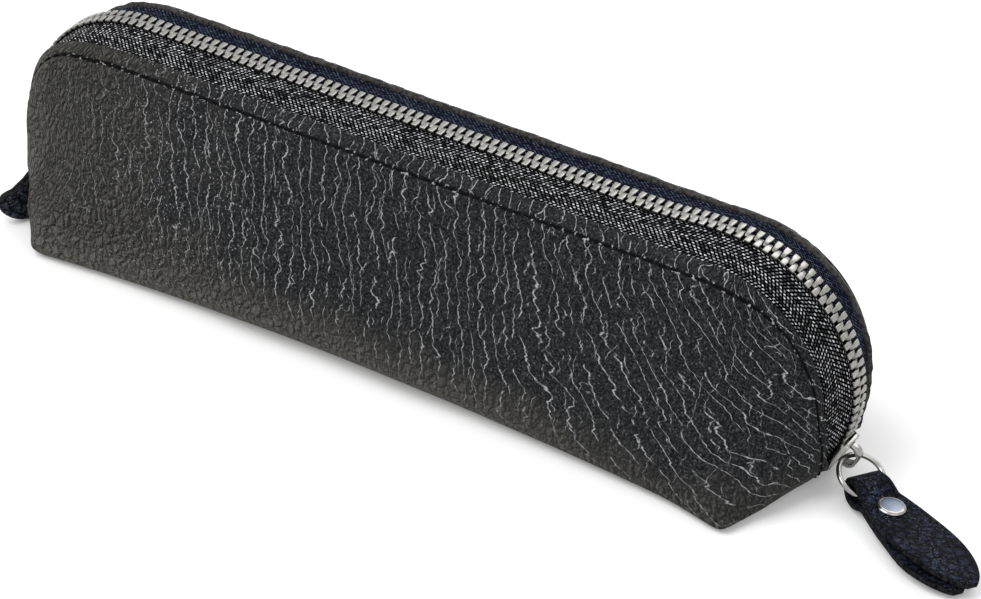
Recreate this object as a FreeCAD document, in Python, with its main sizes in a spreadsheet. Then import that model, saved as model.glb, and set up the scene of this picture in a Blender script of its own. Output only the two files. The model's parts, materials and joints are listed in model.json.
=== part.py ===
import FreeCAD, Part
import Sketcher
import math
import os

# Leather pen case with an arched zip, standing on its base.
# +X points to the pull, -Y to the front, +Z up; the origin is the centre of the base.

Vector = FreeCAD.Vector
Rotation = FreeCAD.Rotation
Placement = FreeCAD.Placement

doc = FreeCAD.newDocument("pen_case")
sheet = doc.addObject("Spreadsheet::Sheet", "dims")

# Driving sizes in millimetres and degrees.
driving = {
    "chain_height": 49.5,
    "straight_half": 69.9,
    "arch_radius": 28,
    "zip_end_height": 3.69,
    "rim_gap": 9,
    "margin_half": 12.6,
    "waist_half": 20.2,
    "leather": 1.4,
    "lining_thickness": 0.5,
    "layer_gap": 0.05,
    "tape_thickness": 0.6,
    "tape_slope": 30,
    "tape_half": 10.8,
    "bead_start": 0.98,
    "slot_floor": 2.6,
    "lip_height": 5.5,
    "lip_gap": 4.2,
    "lip_overhang": 3.3,
    "lip_wing": 9.2,
    "lip_corner_setback": 10,
    "keel_height": 1.6,
    "keel_overhang": 0.7,
    "keel_wing": 9,
    "corner_setback": 7,
    "corner_half": 26.7,
    "base_setback": 4.5,
    "base_corner_setback": 8.3,
    "base_corner_step": 1.5,
    "cheek_setback": 2.2,
    "cheek_half": 18,
    "cheek_tuck": 0.9,
    "flank_swell": 0.9,
    "roll_radius": 7.5,
    "roll_centre": 18.2,
    "lining_end_gap": 7,
    "lining_edge": 10.4,
    "tooth_step": 2,
    "tooth_thick": 0.92,
    "tooth_reach": 0.7,
    "tooth_half_height": 1.2,
    "tooth_slot_half": 0.36,
    "tooth_slot_depth": 0.95,
    "fork_reach": 2.25,
    "teeth_setback": 10,
    "stop_setback": 2.1,
    "top_stop_length": 1.2,
    "bottom_stop_length": 2,
    "slider_setback": 11.5,
    "slider_length": 7.6,
    "mouth_half": 3.6,
    "tail_half": 2.9,
    "plate_thick": 0.8,
    "plate_top": 2.15,
    "plate_bottom": 2.5,
    "channel_half": 2.55,
    "tape_slot_top": 0.6,
    "tape_slot_bottom": 1.35,
    "wedge_half": 0.82,
    "wedge_length": 2.8,
    "crown_width": 1.8,
    "crown_height": 3.1,
    "crown_back": 3.1,
    "crown_front": 2.6,
    "crown_bar": 0.75,
    "ring_radius": 4.8,
    "ring_wire": 0.55,
    "ring_hang": 3.3,
    "ring_along": 0.3,
    "ring_pitch": 26,
    "pull_yaw": 27,
    "pull_roll": 8,
    "pull_pitch": 2,
    "pull_seat": 3.95,
    "strap_thick": 1.2,
    "strap_bore": 1.5,
    "strap_gap": 0.3,
    "loop_slack": 1.2,
    "strap_length": 34.6,
    "strap_neck": 3.4,
    "strap_waist": 4.4,
    "strap_half": 6.8,
    "rivet_place": 7.3,
    "rivet_radius": 3,
    "rivet_rise": 0.75,
    "rivet_shaft": 0.75,
    "tab_neck": 4.7,
    "tab_neck_half": 3.9,
    "tab_length": 16.6,
    "tab_half": 5.2,
    "tab_thick": 2.6,
    "tab_overhang": 2.5,
    "tab_rise": 1,
    "tab_yaw": 76.8,
    "tab_roll": -25,
    "tab_pitch": 6,
}


class Size:
    # A length that knows its value and the formula that ties it to the sheet.
    def __init__(self, value, formula):
        self.value = value
        self.formula = formula

    def __add__(self, other):
        other = sized(other)
        return Size(self.value + other.value, f"({self.formula} + {other.formula})")

    def __sub__(self, other):
        other = sized(other)
        return Size(self.value - other.value, f"({self.formula} - {other.formula})")

    def __mul__(self, other):
        other = sized(other)
        return Size(self.value * other.value, f"({self.formula} * {other.formula})")

    def __truediv__(self, other):
        other = sized(other)
        return Size(self.value / other.value, f"({self.formula} / {other.formula})")

    def __neg__(self):
        return Size(-self.value, f"(-1 * {self.formula})")

    def __radd__(self, other):
        return sized(other) + self

    def __rsub__(self, other):
        return sized(other) - self

    def __rmul__(self, other):
        return sized(other) * self


def sized(value):
    return value if isinstance(value, Size) else Size(float(value), repr(float(value)))


def tan(angle):
    return Size(math.tan(math.radians(angle.value)), f"tan({angle.formula} * 1 deg)")


def cos(angle):
    return Size(math.cos(math.radians(angle.value)), f"cos({angle.formula} * 1 deg)")


def sin(angle):
    return Size(math.sin(math.radians(angle.value)), f"sin({angle.formula} * 1 deg)")


def arccos(value):
    return Size(math.degrees(math.acos(value.value)), f"(acos({value.formula}) / 1 deg)")


def root(value):
    return Size(math.sqrt(value.value), f"sqrt({value.formula})")


class Sizes:
    pass


d = Sizes()
for row, (word, number) in enumerate(driving.items(), start=1):
    sheet.set(f"A{row}", word)
    sheet.set(f"B{row}", str(number))
    sheet.setAlias(f"B{row}", word)
    setattr(d, word, Size(float(number), f"dims.{word}"))
doc.recompute()

flat = Rotation()
across = Rotation(Vector(0, 1, 0), Vector(0, 0, 1), Vector(1, 0, 0), "ZXY")
upright = Rotation(Vector(1, 0, 0), Vector(0, 0, 1), Vector(0, -1, 0), "ZXY")


def bind(item, **formulas):
    # Ties named properties of an item to sizes from the sheet.
    for path, size in formulas.items():
        item.setExpression(path.replace("__", "."), sized(size).formula)
    return item


def place(item, x=0, y=0, z=0, rotation=flat):
    x = sized(x)
    y = sized(y)
    z = sized(z)
    item.Placement = Placement(Vector(x.value, y.value, z.value), rotation)
    item.setExpression("Placement.Base.x", x.formula)
    item.setExpression("Placement.Base.y", y.formula)
    item.setExpression("Placement.Base.z", z.formula)
    return item


def outline(name, corners, bows=None, inner=None):
    # A closed sketch through sized corners; a bow gives the middle point of a curved edge.
    item = doc.addObject("Sketcher::SketchObject", name)
    trace(item, corners, bows or {})
    if inner:
        trace(item, inner, {})
    return item


def trace(item, corners, bows):
    first = item.GeometryCount
    count = len(corners)
    points = [Vector(sized(x).value, sized(y).value, 0) for x, y in corners]
    ends = []
    for k in range(count):
        start = points[k]
        stop = points[(k + 1) % count]
        if k in bows:
            middle = Vector(sized(bows[k][0]).value, sized(bows[k][1]).value, 0)
            edge = item.addGeometry(Part.Arc(start, middle, stop), False)
        else:
            edge = item.addGeometry(Part.LineSegment(start, stop), False)
        turned = item.getPoint(edge, 1).distanceToPoint(start) > item.getPoint(edge, 2).distanceToPoint(start)
        ends.append((2, 1) if turned else (1, 2))
    for k in range(count):
        after = (k + 1) % count
        meet = (first + k, ends[k][1], first + after, ends[after][0])
        item.addConstraint(Sketcher.Constraint("Coincident", *meet))
    for k, (x, y) in enumerate(corners):
        for axis, size in (("DistanceX", sized(x)), ("DistanceY", sized(y))):
            mark = item.addConstraint(Sketcher.Constraint(axis, -1, 1, first + k, ends[k][0], size.value))
            item.setExpression(f"Constraints[{mark}]", size.formula)


def extrude(name, base, length, symmetric=True):
    item = doc.addObject("Part::Extrusion", name)
    item.Base = base
    item.DirMode = "Normal"
    item.Solid = True
    item.Symmetric = symmetric
    item.FaceMakerClass = "Part::FaceMakerBullseye"
    return bind(item, LengthFwd=length)


def revolve(name, source, angle, axis, x=0, z=0):
    item = doc.addObject("Part::Revolution", name)
    item.Source = source
    item.Axis = axis
    item.Solid = True
    item.FaceMakerClass = "Part::FaceMakerBullseye"
    return bind(item, Angle=angle, Base__x=x, Base__z=z)


def fuse(name, *shapes):
    item = doc.addObject("Part::MultiFuse", name)
    item.Shapes = list(shapes)
    item.Refine = True
    return item


def cut(name, base, tool):
    item = doc.addObject("Part::Cut", name)
    item.Base = base
    item.Tool = tool
    return item


def common(name, *shapes):
    item = doc.addObject("Part::MultiCommon", name)
    item.Shapes = list(shapes)
    return item


# Shared lines of the section across the zip; depth is measured inward from the chain.
arch_z = d.chain_height - d.arch_radius
zip_end_angle = arccos((d.zip_end_height - arch_z) / d.arch_radius)
slider_angle = zip_end_angle - d.slider_setback
end_drop = arch_z - d.zip_end_height
zip_end_reach = d.straight_half + root(d.arch_radius * d.arch_radius - end_drop * end_drop)
lip_reach = zip_end_reach + d.lip_overhang
keel_reach = zip_end_reach + d.keel_overhang
base_reach = zip_end_reach - d.base_setback
slope_tan = tan(d.tape_slope)
slope_cos = cos(d.tape_slope)


def tape_top(y):
    return (y - d.fork_reach) * slope_tan - d.tape_thickness / 2


def leather_top(y):
    return tape_top(y) - (d.leather + d.layer_gap) / slope_cos


wall_run = (d.waist_half - d.margin_half) / (d.arch_radius - leather_top(d.margin_half))
wall_stretch = root(wall_run * wall_run + 1)


def section(inset):
    # Rim, bend and waist of the panel section at a given inset from the outside.
    lead = leather_top(sized(0)) + inset / slope_cos
    rest = d.margin_half - wall_run * leather_top(d.margin_half) - wall_stretch * inset
    bend = (rest + wall_run * lead) / (1 - wall_run * slope_tan)
    rim = (d.rim_gap, lead + d.rim_gap * slope_tan)
    return rim, (bend, lead + bend * slope_tan), (d.waist_half - wall_stretch * inset, d.arch_radius)


def ring_of_corners(quarter):
    # Mirrors one end quarter into a full outline.
    corners = [(x, y) for x, y in quarter]
    corners += [(x, -y) for x, y in reversed(quarter)]
    corners += [(-x, -y) for x, y in quarter]
    corners += [(-x, y) for x, y in reversed(quarter)]
    return corners


def form(name, inset, end_inset, swells=()):
    # Solid outer form of the case drawn in by an inset: arched panels over a prow-ended foot.
    inset = sized(inset)
    end_inset = sized(end_inset)
    rim, bend, waist = section(inset)
    half = [rim, bend, waist]
    profile = [(y, d.chain_height - depth) for y, depth in half]
    profile += [(-y, z) for y, z in reversed(profile)]
    middle = extrude(f"{name}_middle", place(outline(f"{name}_section", profile), rotation=across),
                     d.straight_half * 2)
    ends = []
    for side, word in ((1, "right"), (-1, "left")):
        reach = [(side * (d.straight_half + d.arch_radius - depth), y) for y, depth in half]
        reach += [(x, -y) for x, y in reversed(reach)]
        plan = place(outline(f"{name}_{word}_plan", reach), z=arch_z)
        ends.append(revolve(f"{name}_{word}", plan, 90, Vector(0, -side, 0), side * d.straight_half, arch_z))
    wing_pole = (d.straight_half, waist[0])
    margin_pole = (d.straight_half + d.arch_radius - bend[1], bend[0])
    tip_pole = (d.straight_half + d.arch_radius - rim[1], d.rim_gap)
    roll = d.roll_radius
    keel_drop = roll - d.keel_height
    lip_drop = roll - d.lip_height
    keel_side = d.roll_centre + root(roll * roll - keel_drop * keel_drop)
    lip_side = d.roll_centre + root(roll * roll - lip_drop * lip_drop)
    lip_z = d.lip_height + inset * 0.2
    cheek_pole = ((wing_pole[0] + margin_pole[0]) / 2, (wing_pole[1] + margin_pole[1]) / 2)
    pole_corners = [wing_pole, cheek_pole, margin_pole, tip_pole]
    lip_corners = [(zip_end_reach - d.lip_corner_setback - inset, lip_side - inset),
                   (zip_end_reach - d.cheek_setback - inset, d.cheek_half - inset * 0.8),
                   (lip_reach - 1.4 - end_inset, d.lip_wing - inset * 0.4),
                   (lip_reach - end_inset, d.lip_gap)]
    levels = [("pole", arch_z, pole_corners, None)]
    for word, part in swells:
        rest = 1 - part
        between = [(high[0] * rest + low[0] * part + d.flank_swell, high[1] * rest + low[1] * part)
                   for high, low in zip(pole_corners, lip_corners)]
        levels.append((word, arch_z * (1 - part) + lip_z * part, between, None))
    keel_corners = [(zip_end_reach - d.corner_setback - inset * 1.2, d.corner_half - inset * 1.2),
                    (zip_end_reach - d.cheek_setback - d.cheek_tuck - inset * 1.2,
                     d.cheek_half - inset * 0.8),
                    (keel_reach - 1.6 - end_inset, d.keel_wing - inset * 0.4),
                    (keel_reach - end_inset, d.lip_gap)]
    base_corner_half = d.corner_half - d.base_corner_step
    base_corners = [(zip_end_reach - d.base_corner_setback - inset * 1.2, base_corner_half - inset * 1.2),
                    (base_reach - 2.4 - inset * 1.2, d.cheek_half - inset * 0.8),
                    (base_reach - 1.2 - end_inset, d.keel_wing - inset * 0.4),
                    (base_reach - end_inset, d.lip_gap)]
    levels += [
        ("lip", lip_z, lip_corners, None),
        ("keel", d.keel_height + inset * 0.8, keel_corners, keel_side - inset),
        ("base", inset, base_corners, d.roll_centre - inset * 0.7),
    ]
    rungs = []
    for word, z, quarter, side_middle in levels:
        bows = {}
        if side_middle is not None:
            bows = {7: (sized(0), -side_middle), 15: (sized(0), side_middle)}
        rungs.append(place(outline(f"{name}_{word}", ring_of_corners(quarter), bows), z=z))
    foot = doc.addObject("Part::Loft", f"{name}_foot")
    foot.Sections = rungs
    foot.Solid = True
    foot.Ruled = True
    return fuse(f"{name}_form", middle, *ends, foot)


def slot(name, rim_half, low_half, floor):
    # Opening between the two panels, narrowing down both ends.
    top = d.chain_height + 10
    corners = [(rim_half, top), (rim_half, arch_z), (low_half, floor)]
    corners += [(-y, z) for y, z in reversed(corners)]
    shape = place(outline(f"{name}_outline", corners), rotation=across)
    return extrude(name, shape, (lip_reach + d.rim_gap) * 2)


# Leather hide: outer form less the hollow less the zip opening.
end_swells = (("shoulder", 0.3), ("flank", 0.65))
outside = form("hide", 0, 0, end_swells)
hollow = form("hollow", d.leather, d.leather, end_swells)
shell = cut("hide_shell", outside, hollow)
leather_body = cut("leather_body", shell, slot("zip_opening", d.rim_gap, d.lip_gap, d.slot_floor))

# Lining: a thin bag hung under the tapes.
lining_out = d.leather + d.tape_thickness + d.layer_gap * 2
lining_in = lining_out + d.lining_thickness


def bag_form(name, inset):
    # Plain bag: the panel section, an arched side view and a tapered plan, all crossed.
    rim, bend, waist = section(inset)
    profile = [(y, d.chain_height - depth) for y, depth in (rim, bend, waist)]
    profile.append((d.roll_centre - inset, inset))
    end = d.straight_half - d.lining_end_gap
    radius = d.arch_radius - inset
    arch = [(end, arch_z + radius), (end + radius * 0.707, arch_z + radius * 0.707), (end + radius, arch_z),
            (base_reach - d.lining_end_gap - inset, inset)]
    taper = [(end, waist[0]), (end + radius * 0.6, d.margin_half - inset * 0.4),
             (end + d.arch_radius, d.lip_wing - inset * 0.4)]
    views = []
    for word, corners, turn, depth in (("section", profile, across, (end + d.arch_radius) * 2),
                                       ("side", arch, upright, d.corner_half * 2)):
        corners = corners + [(-u, v) for u, v in reversed(corners)]
        shape = place(outline(f"{name}_{word}_outline", corners), rotation=turn)
        views.append(extrude(f"{name}_{word}", shape, depth))
    plan = outline(f"{name}_plan_outline", ring_of_corners(taper))
    views.append(extrude(f"{name}_plan", plan, d.chain_height * 2))
    return common(f"{name}_form", *views)


bag = cut("lining_shell", bag_form("bag", lining_out), bag_form("bag_hollow", lining_in))
lining = cut("lining", bag, slot("lining_opening", d.lining_edge, d.lip_gap * 2, d.lip_height))


def tape(name, side):
    # Tape with its bead edge in the teeth, sloping out under the panel.
    skin = d.tape_thickness / slope_cos
    lower = d.fork_reach - d.tape_thickness / 2 * tan(d.tape_slope / 2)
    corners = [
        (d.bead_start, -d.tape_thickness / 2),
        (d.fork_reach, -d.tape_thickness / 2),
        (d.tape_half, tape_top(d.tape_half)),
        (d.tape_half, tape_top(d.tape_half) + skin),
        (lower, d.tape_thickness / 2),
        (d.bead_start, d.tape_thickness / 2),
    ]
    corners = [(side * y, d.chain_height - depth) for y, depth in corners]
    middle = extrude(f"{name}_middle", place(outline(f"{name}_section", corners), rotation=across),
                     d.straight_half * 2)
    bends = []
    for end, word in ((1, "right"), (-1, "left")):
        start = place(outline(f"{name}_{word}_section", corners), x=end * d.straight_half, rotation=across)
        bends.append(revolve(f"{name}_{word}", start, zip_end_angle, Vector(0, end, 0),
                             end * d.straight_half, arch_z))
    return fuse(name, middle, *bends)


front_tape = tape("front_tape", -1)
back_tape = tape("back_tape", 1)


def on_chain(along):
    # Placement on the chain at a length from the middle of the top: x along, z outward.
    radius = d.arch_radius.value
    run = min(max(along, -d.straight_half.value), d.straight_half.value)
    angle = (along - run) / radius
    spot = Vector(run + radius * math.sin(angle), 0, arch_z.value + radius * math.cos(angle))
    return Placement(spot, Rotation(Vector(0, 1, 0), math.degrees(angle)))


def chain_length(angle):
    return d.straight_half.value + d.arch_radius.value * math.radians(angle)


def clamp(side, reach, length):
    # Fork of metal closed on the bead of a tape, centred on the chain.
    high = d.tooth_half_height.value
    gap = d.tooth_slot_half.value
    deep = d.tooth_slot_depth.value
    leg = d.fork_reach.value
    corners = [(-reach, high * 0.62), (deep * 0.7, high), (leg, high), (leg, gap), (deep, gap),
               (deep, -gap), (leg, -gap), (leg, -high), (deep * 0.7, -high), (-reach, -high * 0.62)]
    points = [Vector(-length / 2, side * y, z) for y, z in corners]
    face = Part.Face(Part.makePolygon(points + points[:1]))
    return face.extrude(Vector(length, 0, 0))


def row_of_teeth(name, side, shift):
    # One row of teeth set on the chain at an even pitch.
    start = -chain_length(zip_end_angle.value - d.teeth_setback.value) + shift
    count = int((chain_length(slider_angle.value) - start) / d.tooth_step.value) + 1
    tooth = clamp(side, d.tooth_reach.value, d.tooth_thick.value)
    row = []
    for k in range(count):
        copy = tooth.copy()
        copy.Placement = on_chain(start + k * d.tooth_step.value)
        row.append(copy)
    item = doc.addObject("Part::Feature", name)
    item.Shape = Part.makeCompound(row)
    return item


front_teeth = row_of_teeth("front_teeth", -1, 0)
back_teeth = row_of_teeth("back_teeth", 1, d.tooth_step.value / 2)

# Stops: a clamp on each tape at the rest end, one wide clamp at the far end.
pair = [clamp(side, -0.8, d.top_stop_length.value) for side in (-1, 1)]
top_stops = doc.addObject("Part::Feature", "top_stops")
top_stops.Shape = Part.makeCompound(pair)
top_stops.Placement = on_chain(chain_length(zip_end_angle.value - d.stop_setback.value))

half_leg = d.fork_reach
half_high = d.tooth_half_height
half_slot = d.tooth_slot_half
bridge = [(half_leg, half_high), (half_leg, half_slot), (d.tooth_slot_depth, half_slot),
          (d.tooth_slot_depth, -half_slot), (half_leg, -half_slot), (half_leg, -half_high)]
bridge += [(-y, z) for y, z in reversed(bridge)]
bridge = [(y, -z) for y, z in bridge]
bottom_stop = extrude("bottom_stop", place(outline("bottom_stop_outline", bridge), rotation=across),
                      d.bottom_stop_length)
bottom_stop.Placement = on_chain(-chain_length(zip_end_angle.value - d.stop_setback.value))

# Slider in its own axes: x along closing travel, z outward, origin on the chain.
half_long = d.slider_length / 2
shield = [
    (half_long - 1, d.mouth_half), (half_long, d.mouth_half - 1),
    (half_long, 1 - d.mouth_half), (half_long - 1, -d.mouth_half),
    (1.2 - half_long, -d.tail_half), (-half_long, 1.2 - d.tail_half),
    (-half_long, d.tail_half - 1.2), (1.2 - half_long, d.tail_half),
]
rounded = {
    0: (half_long - 0.29, d.mouth_half - 0.29),
    2: (half_long - 0.29, 0.29 - d.mouth_half),
    4: (0.35 - half_long, 0.35 - d.tail_half),
    6: (0.35 - half_long, d.tail_half - 0.35),
}
block = extrude("slider_block", place(outline("slider_plan", shield, rounded), z=-d.plate_bottom),
                d.plate_top + d.plate_bottom, False)
channel_low = d.plate_bottom - d.plate_thick
channel_high = d.plate_top - d.plate_thick
channel = doc.addObject("Part::Box", "slider_channel")
bind(channel, Length=d.slider_length + 2, Width=d.channel_half * 2, Height=channel_low + channel_high)
place(channel, -half_long - 1, -d.channel_half, -channel_low)
tape_slot = doc.addObject("Part::Box", "slider_tape_slot")
bind(tape_slot, Length=d.slider_length + 2, Width=d.mouth_half * 4,
     Height=d.tape_slot_top + d.tape_slot_bottom)
place(tape_slot, -half_long - 1, -d.mouth_half * 2, -d.tape_slot_bottom)
open_block = cut("slider_open", cut("slider_channelled", block, channel), tape_slot)
diamond = [
    (half_long - d.wedge_length, 0), (half_long - 0.9, -d.wedge_half),
    (half_long, -d.wedge_half * 0.8), (half_long, d.wedge_half * 0.8), (half_long - 0.9, d.wedge_half),
]
wedge = extrude("slider_wedge", place(outline("wedge_plan", diamond), z=-channel_low - 0.2),
                channel_low + channel_high + 0.4, False)
slider_body = fuse("slider_body", open_block, wedge)

# Crown: an arched bar standing on the outer plate with a window for the ring.
crown_top = d.plate_top + d.crown_height
arch = [
    (-d.crown_back, d.plate_top), (d.crown_front, d.plate_top),
    (d.crown_front, d.plate_top + 1), (d.crown_front - 1.7, crown_top),
    (1.7 - d.crown_back, crown_top), (-d.crown_back, d.plate_top + 1),
]
arch_bows = {
    2: (d.crown_front - 0.52, crown_top - 0.62),
    4: (0.52 - d.crown_back, crown_top - 0.62),
}
window = [
    (d.crown_bar - d.crown_back, d.plate_top), (d.crown_front - d.crown_bar, d.plate_top),
    (d.crown_front - d.crown_bar, d.plate_top + 1), (d.crown_front - 1.75, crown_top - d.crown_bar),
    (1.75 - d.crown_back, crown_top - d.crown_bar), (d.crown_bar - d.crown_back, d.plate_top + 1),
]
bar = extrude("crown_bar_solid", place(outline("crown_outline", arch, arch_bows), rotation=upright),
              d.crown_width)
opening = extrude("crown_window", place(outline("window_outline", window), rotation=upright),
                  d.crown_width * 2)
slider_crown = cut("slider_crown", bar, opening)

slider_place = on_chain(chain_length(slider_angle.value))
slider_body.Placement = slider_place
slider_crown.Placement = slider_place

# Pull: the ring and the strap share the direction of the wire where they hang.
yaw = math.radians(-d.pull_yaw.value)
roll = math.radians(-d.pull_roll.value)
ahead = Vector(math.cos(yaw), math.sin(yaw), 0)
wire = Vector(-math.sin(yaw) * math.cos(roll), math.cos(yaw) * math.cos(roll), math.sin(roll))


def swung(pitch):
    # Axes with y on the wire direction and x pitched down from the horizon.
    turn = Rotation(wire, pitch)
    forward = turn.multVec(ahead)
    return Rotation(forward, wire, forward.cross(wire), "YXZ")


hang = slider_place.multVec(Vector(-d.ring_along.value, 0, d.ring_hang.value))
ring_turn = swung(d.ring_pitch.value)
ring_ahead = ring_turn.multVec(Vector(1, 0, 0))
ring_centre = hang + ring_ahead * d.ring_radius.value
pull_ring = doc.addObject("Part::Torus", "pull_ring")
bind(pull_ring, Radius1=d.ring_radius, Radius2=d.ring_wire)
pull_ring.Placement = Placement(ring_centre, ring_turn)

seat = ring_centre + ring_ahead * d.pull_seat.value
pull_place = Placement(seat, swung(d.pull_pitch.value))

# Strap in its own axes: x along, y across, z up, origin on the axis of the fold.
fold_out = d.strap_bore + d.strap_thick
leaf_out = d.strap_gap / 2 + d.strap_thick
leaf_in = d.strap_gap / 2
pinch = d.strap_bore + 2.6
strip = [
    (0, fold_out), (-d.loop_slack, fold_out), (-d.loop_slack, -fold_out), (0, -fold_out),
    (pinch, -leaf_out), (d.strap_length - 1.5, -leaf_out), (d.strap_length - 1.5, -leaf_in),
    (pinch, -leaf_in), (0, -d.strap_bore), (-d.loop_slack, -d.strap_bore),
    (-d.loop_slack, d.strap_bore), (0, d.strap_bore), (pinch, leaf_in),
    (d.strap_length, leaf_in), (d.strap_length, leaf_out), (pinch, leaf_out),
]
strip_bows = {
    1: (-d.loop_slack - fold_out, sized(0)),
    9: (-d.loop_slack - d.strap_bore, sized(0)),
}
folded = extrude("strap_strip", place(outline("strap_profile", strip, strip_bows), rotation=upright),
                 d.strap_half * 3)
fold_end = d.loop_slack + fold_out
leaf = [
    (-fold_end - 0.5, -d.strap_neck), (4, -d.strap_waist), (17, -d.strap_half), (d.strap_length, -0.7),
    (d.strap_length, 0.7), (17, d.strap_half), (4, d.strap_waist), (-fold_end - 0.5, d.strap_neck),
]
leaf_bows = {
    1: (sized(10), -d.strap_half * 0.9),
    2: (d.strap_length * 0.8, -d.strap_half * 0.7),
    3: (d.strap_length + 0.35, sized(0)),
    4: (d.strap_length * 0.8, d.strap_half * 0.7),
    5: (sized(10), d.strap_half * 0.9),
}
leaf_solid = extrude("strap_leaf", outline("strap_outline", leaf, leaf_bows), fold_out * 4)
blank = common("strap_blank", folded, leaf_solid)
hole = doc.addObject("Part::Cylinder", "strap_hole")
bind(hole, Radius=d.rivet_shaft + 0.05, Height=fold_out * 4)
place(hole, d.rivet_place, 0, fold_out * -2)
pull_strap = cut("pull_strap", blank, hole)
pull_strap.Placement = pull_place

# Rivet: a domed cap above the strap, a flat cap with a shaft from below.
dome = [(0, leaf_out), (d.rivet_radius, leaf_out), (d.rivet_radius, leaf_out + 0.25),
        (0.6, leaf_out + d.rivet_rise), (0, leaf_out + d.rivet_rise)]
dome_bow = {2: (d.rivet_radius * 0.62, leaf_out + d.rivet_rise * 0.78)}
dome_half = place(outline("rivet_dome", dome, dome_bow), rotation=upright)
rivet_cap = revolve("rivet_cap", dome_half, 360, Vector(0, 0, 1))
post = [
    (0, leaf_out), (d.rivet_shaft, leaf_out), (d.rivet_shaft, -leaf_out), (d.rivet_radius, -leaf_out),
    (d.rivet_radius, -leaf_out - 0.2), (d.rivet_radius * 0.8, -leaf_out - 0.4), (0, -leaf_out - 0.4),
]
post_half = place(outline("rivet_post_half", post), rotation=upright)
rivet_post = revolve("rivet_post", post_half, 360, Vector(0, 0, 1))
rivet_place = pull_place.multiply(Placement(Vector(d.rivet_place.value, 0, 0), flat))
rivet_cap.Placement = rivet_place
rivet_post.Placement = rivet_place

# End tab: a leaf of two layers on a neck held between the panels at the far end of the zip.
tab_leaf = [
    (-1.5, -d.tab_neck_half), (d.tab_length * 0.45, -d.tab_half), (d.tab_length, -0.8), (d.tab_length, 0.8),
    (d.tab_length * 0.45, d.tab_half), (-1.5, d.tab_neck_half),
]
tab_bows = {
    0: (d.tab_length * 0.15, -d.tab_half * 0.88),
    1: (d.tab_length * 0.82, -d.tab_half * 0.66),
    2: (d.tab_length + 0.4, sized(0)),
    3: (d.tab_length * 0.82, d.tab_half * 0.66),
    4: (d.tab_length * 0.15, d.tab_half * 0.88),
}
tab_blade = extrude("tab_blade", outline("tab_outline", tab_leaf, tab_bows), d.tab_thick)
tab_turn = Rotation(Vector(0, 0, 1), d.tab_yaw.value)
tab_turn = tab_turn.multiply(Rotation(Vector(0, 1, 0), d.tab_pitch.value))
tab_turn = tab_turn.multiply(Rotation(Vector(1, 0, 0), d.tab_roll.value))
place(tab_blade, d.tab_neck, 0, 0, tab_turn)
tab_stem = doc.addObject("Part::Box", "tab_stem")
bind(tab_stem, Length=d.tab_neck + 1, Width=d.tab_neck_half * 2, Height=d.tab_thick)
place(tab_stem, 0, -d.tab_neck_half, d.tab_thick / -2)
end_tab = place(fuse("end_tab", tab_stem, tab_blade), -zip_end_reach - d.tab_overhang, 0,
                d.zip_end_height + d.tab_rise,
                Rotation(Vector(0, 0, 1), 180))

nodes = [leather_body, lining, front_tape, back_tape, front_teeth, back_teeth, top_stops, bottom_stop,
         slider_body, slider_crown, pull_ring, pull_strap, rivet_cap, rivet_post, end_tab]
doc.recompute()
for item in doc.Objects:
    if any(word in item.State for word in ("Invalid", "Error")):
        raise RuntimeError(f"{item.Name} is {item.State}")
os.makedirs("parts", exist_ok=True)
for node in nodes:
    shape = node.Shape
    if shape.isNull() or not shape.isValid():
        raise RuntimeError(f"{node.Label} has no sound shape")
    shape.exportStep(f"parts/{node.Label}.step")
    box = shape.BoundBox
    print(node.Label, len(shape.Solids), round(shape.Volume, 1), "mm3",
          [round(v, 2) for v in (box.XMin, box.YMin, box.ZMin, box.XMax, box.YMax, box.ZMax)])
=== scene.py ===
import bpy
import bmesh
import json
import math
from mathutils import Matrix, Quaternion, Vector, noise
from mathutils.bvhtree import BVHTree


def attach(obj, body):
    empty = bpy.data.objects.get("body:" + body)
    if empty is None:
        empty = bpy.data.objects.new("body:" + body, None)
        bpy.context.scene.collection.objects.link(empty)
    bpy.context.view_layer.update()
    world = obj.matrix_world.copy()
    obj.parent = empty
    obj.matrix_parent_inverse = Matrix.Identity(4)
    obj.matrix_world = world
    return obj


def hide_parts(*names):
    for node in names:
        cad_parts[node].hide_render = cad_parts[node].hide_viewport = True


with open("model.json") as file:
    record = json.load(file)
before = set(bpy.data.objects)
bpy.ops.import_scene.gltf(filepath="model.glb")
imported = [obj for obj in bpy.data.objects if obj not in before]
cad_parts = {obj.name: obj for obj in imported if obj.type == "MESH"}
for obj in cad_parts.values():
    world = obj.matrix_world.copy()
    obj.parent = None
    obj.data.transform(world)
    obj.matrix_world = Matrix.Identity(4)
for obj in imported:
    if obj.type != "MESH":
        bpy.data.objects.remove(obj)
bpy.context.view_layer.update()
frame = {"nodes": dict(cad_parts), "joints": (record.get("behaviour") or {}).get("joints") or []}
print("frame loaded,", len(frame["nodes"]), "nodes")

mm = 0.001
hinges = {joint["name"]: joint for joint in frame["joints"]}

# the zip runs over the top and round both ends; lengths in the dictionaries are millimetres
zipArch = {
    "height": 49.5,            # chain centre above the table
    "straightHalf": 69.9,
    "radius": 28.0,
    "endAngle": 129.5,         # degrees from the top
    "teethStart": 119.5,
    "teethStop": 118.0,
    "sag": 0.7,                # how far the chain lies sunk away from the slider
    "lean": 0.4,               # how far it leans to the front there
    "slackAngles": (112, 85),  # degrees round the far arch where the sinking starts and is full
    "slackStop": (54, 66),     # where it fades out before the pull end
}
archZ = zipArch["height"] - zipArch["radius"]


def smoothStep(low, high, value):
    t = max(0.0, min(1.0, (value - low) / (high - low)))
    return t * t * (3 - 2 * t)


def bell(distance, reach):
    return math.exp(-(distance / reach) ** 2)


def lengthTo(angle):
    return zipArch["straightHalf"] + zipArch["radius"] * math.radians(angle)


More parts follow.
